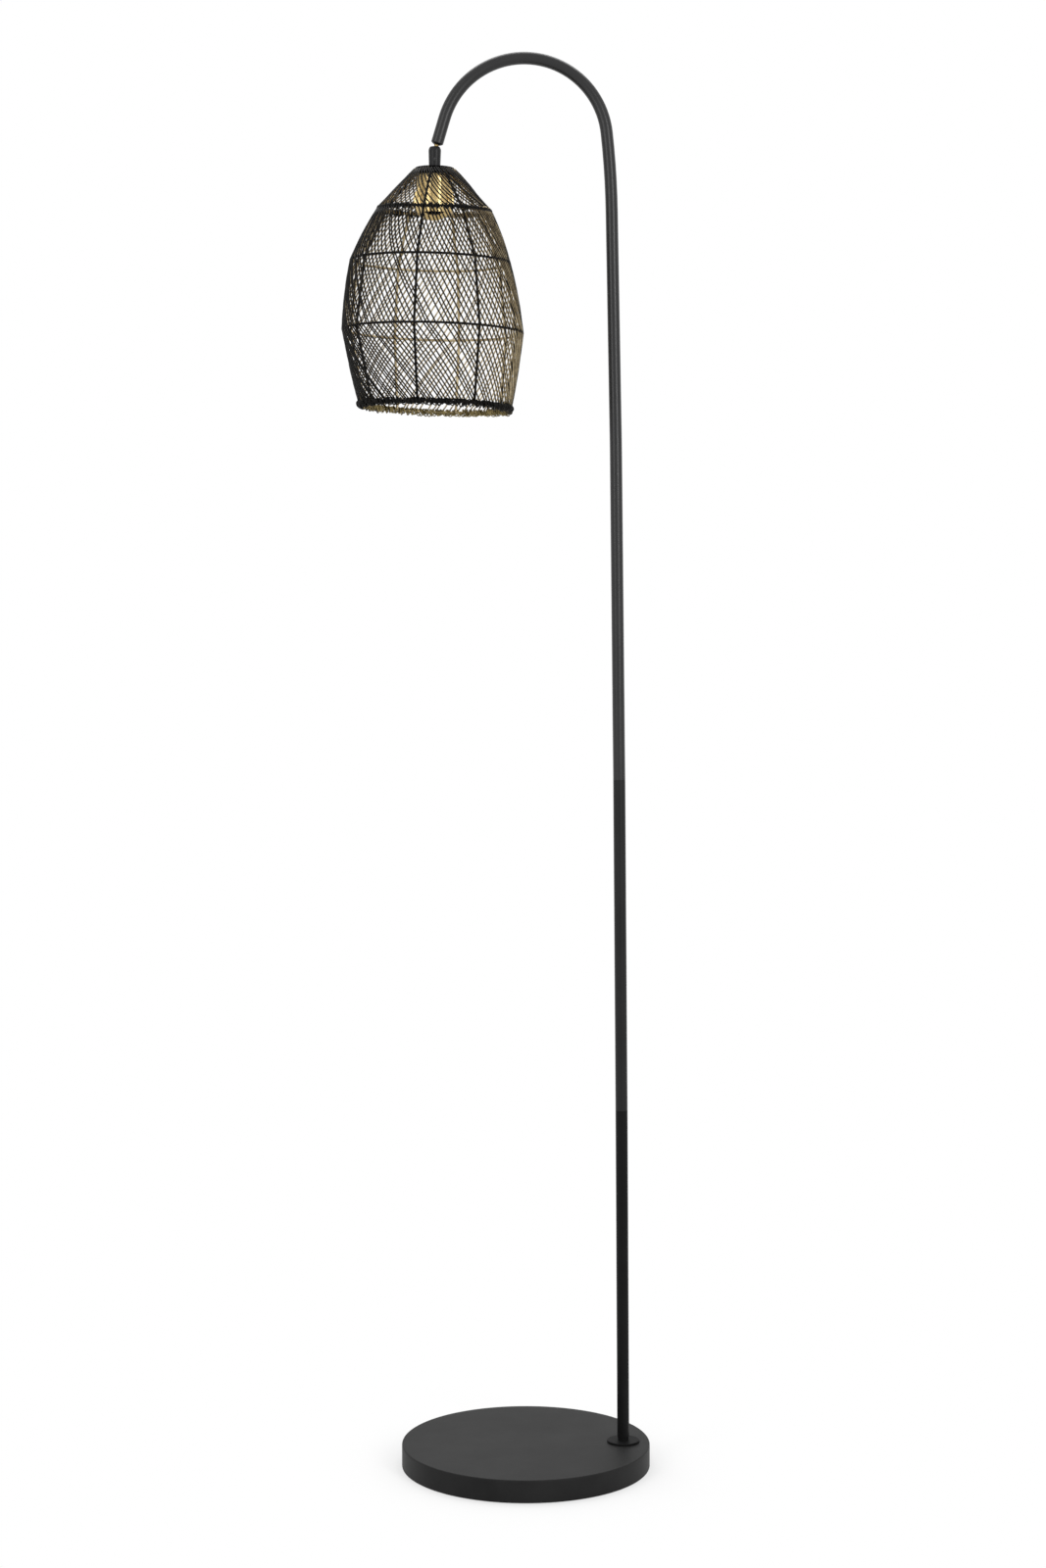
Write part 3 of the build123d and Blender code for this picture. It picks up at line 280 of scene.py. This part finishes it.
def two_tone_wire(
    name, gold_side, low, high, dull=(0.27, 0.2, 0.1), bright=(0.74, 0.62, 0.4), rings=()
):
    """Steel wire coated brass colour all over, then sprayed black from the outside of the cage.

    The black reaches furthest round to the inside away from the direction gold_side: low and high are
    how far a surface must face outwards to be black, opposite that direction and in it. With gold_side
    at the right of the shade, the extra brass on the inner faces there is a painted reflection of the
    light from the left, on top of the real two-tone paint. Where the wires are soldered to the rings,
    the black was touched up all over their outside."""
    made = Finish(name, (0.006, 0.0055, 0.005), 0.42, specular=0.1)
    out = made.vector("SUBTRACT", made.at.outputs["Object"], tuple(BALL))
    flat = made.vector("MULTIPLY", out, (1, 1, 0))
    away = made.node("ShaderNodeVectorMath", {0: flat}, operation="NORMALIZE").outputs["Vector"]
    facing = made.vector("DOT_PRODUCT", made.at.outputs["Normal"], away)
    # Towards gold_side more brass shows; on the fine and cap wires this is a painted reflection of the light from
    # the left.
    side = made.vector("DOT_PRODUCT", away, (math.sin(gold_side), -math.cos(gold_side), 0))
    ragged = made.span(made.noise(520.0, 4.0, 0.7), 0.3, 0.7, -0.22, 0.22)
    edge = made.math("ADD", made.span(side, -0.1, 0.85, low, high), ragged)
    inside = made.span(made.math("SUBTRACT", edge, facing), -0.04, 0.14)
    for ring in rings:
        offset = made.vector("SUBTRACT", made.at.outputs["Object"], tuple(ring.middle))
        lift = made.vector("DOT_PRODUCT", offset, tuple(ring.up))
        clear = made.span(made.math("ABSOLUTE", lift), *SOLDERED)
        bare = made.math("MAXIMUM", clear, made.span(facing, 0.0, -0.25))
        inside = made.math("MULTIPLY", inside, bare)
    patch = made.span(made.noise(90.0, 3.0, 0.6), 0.3, 0.7)
    brass = colour_mix(made, patch, dull, bright)
    black = colour_mix(made, patch, (0.002, 0.0018, 0.0016), (0.0065, 0.0058, 0.005))
    made.put(colour_mix(made, inside, black, brass), "Base Color")
    made.put(inside, "Metallic")
    made.put(made.span(made.noise(700.0, 3.0, 0.6), 0.25, 0.75, 0.32, 0.52), "Roughness")
    made.bump(made.noise(1500.0, 3.0, 0.6), 0.35, 0.00006)
    return made.material


def brushed_brass():
    """Lacquered brass, finely brushed round its axis, with slight tarnish."""
    made = Finish("lacquered_brass", (0.62, 0.44, 0.19), 0.26, metal=1.0)
    cloudy = made.noise(60.0, 4.0, 0.6)
    tone = colour_mix(made, made.span(cloudy, 0.3, 0.72), (0.62, 0.45, 0.19), (0.86, 0.68, 0.36))
    spots = made.span(made.noise(420.0, 4.0, 0.7), 0.64, 0.78)
    made.put(colour_mix(made, made.math("MULTIPLY", spots, 0.5), tone, (0.24, 0.15, 0.06)), "Base Color")
    lines = made.noise(90.0, 3.0, 0.6, stretch=(1, 1, 60))
    made.put(made.span(lines, 0.3, 0.7, 0.2, 0.36), "Roughness")
    made.bump(lines, 0.15, 0.00003)
    return made.material


def plated_steel():
    """Zinc plate with a faint spangle."""
    made = Finish("zinc_plate", (0.55, 0.55, 0.53), 0.35, metal=1.0)
    cells = made.node("ShaderNodeTexVoronoi", {"Vector": made.at.outputs["Object"], "Scale": 700.0})
    tone = colour_mix(made, cells.outputs["Distance"], (0.5, 0.5, 0.49), (0.64, 0.64, 0.61))
    stain = made.span(made.noise(240.0, 4.0, 0.7), 0.6, 0.8)
    made.put(colour_mix(made, made.math("MULTIPLY", stain, 0.4), tone, (0.3, 0.27, 0.22)), "Base Color")
    made.put(made.span(made.noise(500.0), 0.3, 0.7, 0.28, 0.46), "Roughness")
    made.bump(made.noise(1200.0), 0.2, 0.00004)
    return made.material


def moulded(name, low, high, rough):
    """Moulded plastic or rubber with a slight sheen and flow marks."""
    made = Finish(name, high, rough, specular=0.4)
    made.put(colour_mix(made, made.span(made.noise(120.0, 4.0), 0.3, 0.7), low, high), "Base Color")
    made.put(made.span(made.noise(300.0, 3.0), 0.3, 0.7, rough - 0.06, rough + 0.08), "Roughness")
    made.bump(made.noise(1800.0, 2.0), 0.3, 0.00004)
    return made.material


def cast_iron():
    """Rough dipped casting."""
    made = Finish("dipped_casting", (0.07, 0.068, 0.065), 0.72, specular=0.3)
    skin = made.noise(80.0, 5.0, 0.7)
    made.put(colour_mix(made, skin, (0.04, 0.038, 0.036), (0.12, 0.11, 0.1)), "Base Color")
    made.bump(made.noise(420.0, 4.0, 0.7), 0.8, 0.0004)
    return made.material


def felt():
    """Dark felt with loose fibres."""
    made = Finish("dark_felt", (0.03, 0.03, 0.031), 0.95, specular=0.1)
    fibre = made.noise(1400.0, 6.0, 0.8, stretch=(1, 0.35, 1))
    made.put(colour_mix(made, fibre, (0.012, 0.012, 0.013), (0.075, 0.073, 0.07)), "Base Color")
    made.shader.inputs["Sheen Weight"].default_value = 0.3
    made.bump(fibre, 0.9, 0.0004)
    return made.material


def burnished_steel(name, low, high):
    """Dark burnished steel with rubbed spots."""
    made = Finish(name, high, 0.4, metal=1.0)
    rubbed = made.span(made.noise(900.0, 4.0, 0.7), 0.35, 0.7)
    made.put(colour_mix(made, rubbed, low, high), "Base Color")
    made.put(made.span(rubbed, 0, 1, 0.5, 0.34), "Roughness")
    made.bump(made.noise(2200.0, 2.0), 0.2, 0.00003)
    return made.material


def dress_nodes(rings):
    """Give every solid its finish, and return the finishes that the added pieces share."""
    coat = powder_coat("satin_black_coat", (0.0105, 0.0105, 0.0105), 0.5, 0.13)
    foot_coat = powder_coat("foot_black", (0.005, 0.005, 0.0052), 0.5, 0.06, dust=0.1)
    # Painted shade and light: the pole's tubes get copies of one black coat, darker and less glossy towards the
    # foot and lighter towards the top, standing in for softbox light that falls off down the pole.
    tube_coats_painted_shade = [
        powder_coat("lower_tube_coat_painted_shade", (0.004, 0.004, 0.0042), 0.42, 0.1, dust=0.1),
        powder_coat("middle_tube_coat_painted_half_shade", (0.006, 0.006, 0.0062), 0.38, 0.24, dust=0.1),
        powder_coat("upper_tube_coat_painted_light", (0.007, 0.007, 0.0074), 0.3, 0.42, dust=0.1),
    ]
    joint_coat = powder_coat("joint_black", (0.006, 0.006, 0.0066), 0.38, 0.26, dust=0.1)
    cap_coat = powder_coat("cap_black", (0.0015, 0.0015, 0.0015), 0.6, 0.01, dust=0.02)
    # Turned to the right for the fine and cap wires: the extra brass on the inner faces at the shade's right is a
    # painted reflection of the light from the left, over the real two-tone paint.
    right = math.radians(98)
    behind = math.radians(180)
    soldered = [rings[name] for name in RINGS[:3]]
    fine_wire = two_tone_wire("two_tone_fine_wire_painted_reflection", right, -0.6, 0.5, rings=soldered)
    cap_wire = two_tone_wire("two_tone_cap_wire_painted_reflection", right, -0.4, 0.25)
    rib = two_tone_wire("two_tone_rib", behind, -0.75, -0.2)
    rope = two_tone_wire("two_tone_rope", behind, -0.6, 0.0, (0.08, 0.06, 0.02), (0.4, 0.32, 0.15))
    finishes = {
        "black_powder_coat": coat,
        "polished_brass": brushed_brass(),
        "zinc_plated_steel": plated_steel(),
        "cast_iron_weight": cast_iron(),
        "black_felt": felt(),
        "black_rubber": moulded("soft_rubber", (0.012, 0.012, 0.012), (0.03, 0.03, 0.03), 0.62),
        "white_nylon": moulded("natural_nylon", (0.62, 0.6, 0.55), (0.78, 0.77, 0.72), 0.45),
        "black_phenolic": moulded("black_moulding", (0.01, 0.009, 0.008), (0.022, 0.02, 0.018), 0.35),
        "cord_sheath": moulded("lead_sheath", (0.02, 0.02, 0.02), (0.05, 0.05, 0.05), 0.5),
        "black_wire": fine_wire,
    }
    own = {
        # The tubes and the arm take those coat copies with painted shade low down and painted light at the top.
        "pole_flange": foot_coat, "lower_pole_tube": tube_coats_painted_shade[0], "middle_pole_tube": tube_coats_painted_shade[1],
        "upper_pole_tube": tube_coats_painted_shade[2], "bent_arm": tube_coats_painted_shade[2], "ball_cup": joint_coat,
        "arm_end_plug": joint_coat, "shade_cap": cap_coat, "shade_ribs": rib,
        "ball_stud": burnished_steel("worn_brass_stud", (0.12, 0.085, 0.035), (0.42, 0.31, 0.13)),
        "cup_screw": burnished_steel("burnished_screw", (0.03, 0.03, 0.03), (0.12, 0.12, 0.118)),
    }
    for part in frame["record"]["subparts"]:
        node = NODES[part["node"]]
        material = own.get(part["node"], finishes[part["material_slot"]])
        if node.material_slots:
            for place in node.material_slots:
                place.material = material
        else:
            node.data.materials.append(material)
    return {"fine_wire": fine_wire, "cap_wire": cap_wire, "rope": rope, "brass": finishes["polished_brass"]}


# ---- mesh helpers -------------------------------------------------------------------------------
def tube_mesh(runs, sides):
    """Vertices and faces of round wires: each run is (points, radius), and its ends are closed."""
    vertices, faces = [], []
    for points, radius in runs:
        first = len(vertices)
        side = None
        for i, point in enumerate(points):
            ahead = points[min(i + 1, len(points) - 1)] - points[max(i - 1, 0)]
            ahead.normalize()
            if side is None:
                side = ahead.orthogonal().normalized()
            side = (side - ahead * side.dot(ahead)).normalized()
            other = ahead.cross(side)
            for k in range(sides):
                turn = 2 * math.pi * k / sides
                vertices.append(point + radius * (math.cos(turn) * side + math.sin(turn) * other))
        for i in range(len(points) - 1):
            for k in range(sides):
                a = first + i * sides + k
                b = first + i * sides + (k + 1) % sides
                faces.append((a, b, b + sides, a + sides))
        last = first + (len(points) - 1) * sides
        faces.append(tuple(first + sides - 1 - k for k in range(sides)))
        faces.append(tuple(last + k for k in range(sides)))
    return vertices, faces


def add_piece(name, vertices, faces, slot, material):
    """A smooth mesh piece that rides on the shade."""
    mesh = bpy.data.meshes.new(name)
    mesh.from_pydata([tuple(v) for v in vertices], [], faces)
    mesh.validate()
    mesh.polygons.foreach_set("use_smooth", [True] * len(mesh.polygons))
    mesh.materials.append(material)
    piece = bpy.data.objects.new(name, mesh)
    bpy.context.scene.collection.objects.link(piece)
    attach(piece, "shade")
    return piece


class Ring:
    """A ring of the cage as the frame has it: its middle, its radius and its own directions."""

    def __init__(self, spots):
        spots = np.array(spots, float)
        middle = (spots.min(axis=0) + spots.max(axis=0)) / 2
        self.middle = Vector(middle.tolist())
        _, _, axes = np.linalg.svd(spots - middle, full_matrices=False)
        self.up = Vector(axes[2].tolist())
        if self.up.z < 0:
            self.up = -self.up
        reach = np.linalg.norm(np.cross(spots - middle, np.array(self.up)), axis=1)
        self.radius = float(reach.max() + reach.min()) / 2
        front = Vector((0, -1, 0))
        self.front = (front - self.up * front.dot(self.up)).normalized()
        self.right = self.front.cross(self.up) * -1

    def out(self, turn):
        """The direction away from the middle at an angle, 0 at the front, growing to the right."""
        return math.cos(turn) * self.front + math.sin(turn) * self.right

    def at(self, turn, out, lift):
        """A point at an angle, out from the middle of the bar and lifted above its plane."""
        return self.middle + (self.radius + out) * self.out(turn) + lift * self.up

    def beside(self, turn, roll, reach):
        """A point beside the bar: roll 0 is outside, a quarter turn is above."""
        return self.at(turn, reach * math.cos(roll), reach * math.sin(roll))

    def turn_of(self, point):
        """The angle at which a point stands."""
        away = point - self.middle
        return math.atan2(away.dot(self.right), away.dot(self.front))


def ring_of(node):
    """The ring of one node."""
    return Ring([v.co for v in NODES[node].data.vertices])


def loose_parts(node):
    """The vertices of each connected piece of a node's mesh."""
    mesh = NODES[node].data
    spots = np.empty(len(mesh.vertices) * 3)
    mesh.vertices.foreach_get("co", spots)
    spots = spots.reshape(-1, 3)
    _, same = np.unique(np.round(spots, 7), axis=0, return_inverse=True)
    same = same.reshape(-1)
    head = list(range(same.max() + 1))

    def find(i):
        while head[i] != i:
            head[i] = head[head[i]]
            i = head[i]
        return i

    for edge in mesh.edges:
        a, b = (find(int(same[v])) for v in edge.vertices)
        if a != b:
            head[a] = b
    groups = {}
    for i, spot in zip(same, spots):
        groups.setdefault(find(int(i)), []).append(spot)
    return [np.array(group) for group in groups.values()]


def wire_ends(node):
    """The top and foot of each wire of a band, as the middles of its two end faces."""
    ends = []
    for spots in loose_parts(node):
        along = spots[spots[:, 2].argmax()] - spots[spots[:, 2].argmin()]
        along /= np.linalg.norm(along)
        reach = spots @ along
        top = spots[reach > reach.max() - CAD_WIRE].mean(axis=0)
        foot = spots[reach < reach.min() + CAD_WIRE].mean(axis=0)
        ends.append((Vector(top.tolist()), Vector(foot.tolist())))
    return ends


# ---- the fine wires ------------------------------------------------------------------------------
def wrapped(angle):
    """An angle between minus half a turn and half a turn."""
    return (angle + math.pi) % (2 * math.pi) - math.pi


def twist_of(node, upper, lower):
    """How far round the wires of a band turn on their way down, by the angle at which they start."""
    pairs = []
    for top, foot in wire_ends(node):
        turn = upper.turn_of(top)
        pairs.append((turn, wrapped(lower.turn_of(foot) - turn)))
    pairs.sort()
    turns, twists = zip(*pairs)
    return lambda turn: float(np.interp(wrapped(turn), turns, twists, period=2 * math.pi))


def bowed(start, middle, end, sway, drift):
    """Points on a curve through three points, with a slow sway and an s-shaped drift sideways."""
    points = []
    for i in range(RUN_POINTS):
        t = i / (RUN_POINTS - 1)
        point = start * (1 - t) * (1 - 2 * t) + middle * 4 * t * (1 - t) + end * t * (2 * t - 1)
        points.append(point + sway * math.sin(math.pi * t) + drift * math.sin(2 * math.pi * t))
    return points


def wire_run(upper, turn, above, lower, foot, below, bow, jitter, stray):
    """A wire between two rings; above and below are its (out, lift) at each ring."""
    half = (turn + foot) / 2
    out = upper.out(half)
    middle = (upper.at(half, *above) + lower.at(half, *below)) / 2 + bow * out
    along = out.cross(upper.up)
    sway = along * jitter.gauss(0, stray) - out * abs(jitter.gauss(0, stray * 0.5))
    drift = along * jitter.gauss(0, stray * 0.4)
    return bowed(upper.at(turn, *above), middle, lower.at(foot, *below), sway, drift)


def long_wires(rings, materials):
    """The wires from the neck ring down to the bottom ring, each one length over all the rings."""
    jitter = random.Random(5)
    twists = [twist_of(band, rings[a], rings[b]) for band, a, b in zip(BANDS, RINGS, RINGS[1:])]
    count = len(wire_ends(BANDS[0]))
    pitch = 2 * math.pi / count
    seats = dict(zip(RINGS, ((SEAT, -0.0006), (SEAT, 0), (SEAT, 0), (0.0011, 0.0021))))
    runs, necks, feet = [], [], []
    for i in range(count):
        turn = pitch * (i + jitter.uniform(-0.13, 0.13))
        necks.append(turn)
        points = []
        for upper, lower, twist, bow in zip(RINGS, RINGS[1:], twists, BOWS):
            foot = turn + twist(turn) + pitch * jitter.uniform(-0.12, 0.12)
            stray = 0.0003 if jitter.random() > 0.07 else 0.0012
            run = wire_run(
                rings[upper], turn, seats[upper], rings[lower], foot, seats[lower], bow, jitter, stray
            )
            points += run[1:] if points else run
            turn = foot
        feet.append(turn)
        runs.append((points, WIRE))
    piece = add_piece("long_wires", *tube_mesh(runs, 8), "black_wire", materials["fine_wire"])
    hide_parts(*BANDS)
    return necks, feet


def crown_wires(rings, materials):
    """The wires from the cap out to the neck ring."""
    jitter = random.Random(6)
    cap = Ring([top for top, _ in wire_ends("cap_wires")])
    neck = rings["neck_ring"]
    twist = twist_of("cap_wires", cap, neck)
    pitch = 2 * math.pi / CROWN_WIRES
    runs, feet = [], []
    for i in range(CROWN_WIRES):
        turn = pitch * (i + jitter.uniform(-0.12, 0.12))
        end = turn + twist(turn) + pitch * jitter.uniform(-0.2, 0.2)
        start = (jitter.uniform(-0.0014, -0.0007), jitter.uniform(0, 0.0012))
        run = wire_run(cap, turn, start, neck, end, (SEAT, 0.0006), 0.0004, jitter, 0.0004)
        feet.append(end)
        runs.append((run, WIRE * 0.94))
    piece = add_piece("crown_wires", *tube_mesh(runs, 8), "black_wire", materials["cap_wire"])
    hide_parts("cap_wires")
    return feet


def wrap_run(ring, start_turn, end_turn, start_roll, turns, reach, steps=18):
    """A wire wound round a ring's bar, downwards on the outside."""
    points = []
    for i in range(steps + 1):
        share = i / steps
        turn = start_turn + (end_turn - start_turn) * share
        points.append(ring.beside(turn, start_roll - 2 * math.pi * turns * share, reach))
    return points


def neck_wraps(ring, crown_feet, necks, materials):
    """At the neck ring every wire is wound once round the bar, and some ends stand out as knots."""
    jitter = random.Random(4)
    reach = RING_BAR + WIRE * 0.6
    pitch = 2 * math.pi / len(necks)
    runs = []
    for turn in necks:
        start = turn - jitter.uniform(0.4, 0.75) * pitch
        runs.append((wrap_run(ring, start, turn, 0.5, 1.14, reach), WIRE))
    for turn in crown_feet:
        for swell in [jitter.uniform(0.8, 2.6) for _ in range(jitter.choice((0, 1, 1, 2)))]:
            knot = []
            for k in range(15):
                roll = math.pi * (0.25 + 1.5 * k / 14)
                out = RING_BAR + WIRE * (0.7 + swell * math.sin(math.pi * k / 14))
                knot.append(ring.beside(turn + pitch * 0.3 * k / 14, roll, out))
            runs.append((knot, WIRE * 1.1))
    add_piece("neck_ring_wraps", *tube_mesh(runs, 7), "black_wire", materials["fine_wire"])


def rim_rope(ring, feet, materials):
    """The wires' ends, laid side by side and wound round the bottom ring like a rough rope."""
    jitter = random.Random(9)
    pitch = 2 * math.pi / len(feet)
    reach = RING_BAR + TOUCH + WIRE * 0.9
    runs = []
    for turn in feet:
        lay = pitch * jitter.uniform(1.8, 3.2)
        points = wrap_run(ring, turn, turn + lay, 1.08, jitter.uniform(1.4, 2.2), reach, 30)
        runs.append((points, WIRE * 0.95))
        second = turn + pitch * jitter.uniform(0.1, 0.9)
        out = reach + jitter.uniform(0.1, 1.5) * WIRE
        stop = second + pitch * jitter.uniform(0.8, 2.0)
        points = wrap_run(ring, second, stop, jitter.uniform(1.5, 3.5), 1.2, out, 22)
        runs.append((points, WIRE * 0.85))
    rope = add_piece("rim_rope", *tube_mesh(runs, 7), "black_wire", materials["rope"])
    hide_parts("rim_binding")


def rim_curls(ring, materials):
    """Stray loops of wire that stand out below the bottom ring."""
    jitter = random.Random(21)
    runs = []
    for i in range(CURLS):
        turn = 2 * math.pi * (i + jitter.uniform(-0.4, 0.4)) / CURLS
        width = jitter.uniform(0.003, 0.009) / ring.radius
        drop = jitter.uniform(0.0012, 0.0034) * (1.4 if jitter.random() < 0.15 else 1.0)
        first = -jitter.uniform(0.7, 1.5)
        points = []
        for k in range(13):
            share = k / 12
            reach = RING_BAR + WIRE + drop * math.sin(math.pi * share)
            points.append(ring.beside(turn + width * share, first - 1.3 * share, reach))
        runs.append((points, WIRE * 0.75))
    add_piece("rim_curls", *tube_mesh(runs, 6), "black_wire", materials["rope"])


# ---- lampholder ----------------------------------------------------------------------------------
def thread_shell(materials):
    """The socket's screw shell, with its rolled thread and a turned-out lip at the mouth."""
    spots = np.array([v.co for v in NODES["lampholder_shell"].data.vertices], float)
    ring = Ring(spots)
    spots -= np.array(ring.middle)
    axis = np.array(ring.up)
    length = float(np.ptp(spots @ axis))
    outer = float(np.linalg.norm(np.cross(spots, axis), axis=1).max())
    sides, levels = 72, 84
    vertices = []
    for skin in (0, 1):
        for j in range(levels + 1):
            lift = length * (j / levels - 0.5)
            fade = min(1.0, (levels - j) / 6, j / 8)
            for k in range(sides):
                turn = 2 * math.pi * k / sides
                wave = math.cos(2 * math.pi * lift / THREAD_PITCH - turn)
                depth = THREAD_DEPTH * (0.5 - 0.5 * wave) * fade
                radius = outer - SHELL_AIR - depth - SHELL_SHEET * skin
                vertices.append(ring.middle + radius * ring.out(turn) + lift * ring.up)
    faces = []
    row = (levels + 1) * sides
    for j in range(levels):
        for k in range(sides):
            a, b = j * sides + k, j * sides + (k + 1) % sides
            faces.append((a, a + sides, b + sides, b))
            faces.append((row + a, row + b, row + b + sides, row + a + sides))
    last = levels * sides
    for k in range(sides):
        n = (k + 1) % sides
        faces.append((k, n, row + n, row + k))
        faces.append((last + k, row + last + k, row + last + n, last + n))
    first = len(vertices)
    foot = -length / 2 - LIP_DROP
    for lift, out in LIP:
        for k in range(sides):
            spoke = ring.out(2 * math.pi * k / sides)
            vertices.append(ring.middle + (outer + out) * spoke + (foot + lift) * ring.up)
    for j in range(len(LIP)):
        for k in range(sides):
            a, b = first + j * sides, first + (j + 1) % len(LIP) * sides
            n = (k + 1) % sides
            faces.append((a + k, a + n, b + n, b + k))
    shell = add_piece("holder_thread", vertices, faces, "polished_brass", materials["brass"])
    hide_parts("lampholder_shell")


def main():
    """The whole scene: camera, stage and lamps, then the finishes and the added pieces."""
    make_camera()
    make_world(WORLD_LEVEL)
    make_floor()
    area_light("left_softbox", (-2.1, -2.5, 2.1), (0, 0, 1.3), 0.9, 2.2, 20)
    area_light("right_softbox", (2.1, -2.9, 1.9), (0, 0, 1.3), 0.8, 1.8, 34)
    area_light("top_softbox", (0.0, 1.0, 3.4), (0, 0, 0.2), 2.4, 1.6, 30)
    rings = {name: ring_of(name) for name in RINGS}
    materials = dress_nodes(rings)
    necks, feet = long_wires(rings, materials)
    crown_feet = crown_wires(rings, materials)
    neck_wraps(rings["neck_ring"], crown_feet, necks, materials)
    rim_rope(rings["rim_ring"], feet, materials)
    rim_curls(rings["rim_ring"], materials)
    thread_shell(materials)


main()
bpy.context.scene.view_settings.view_transform = "Standard"
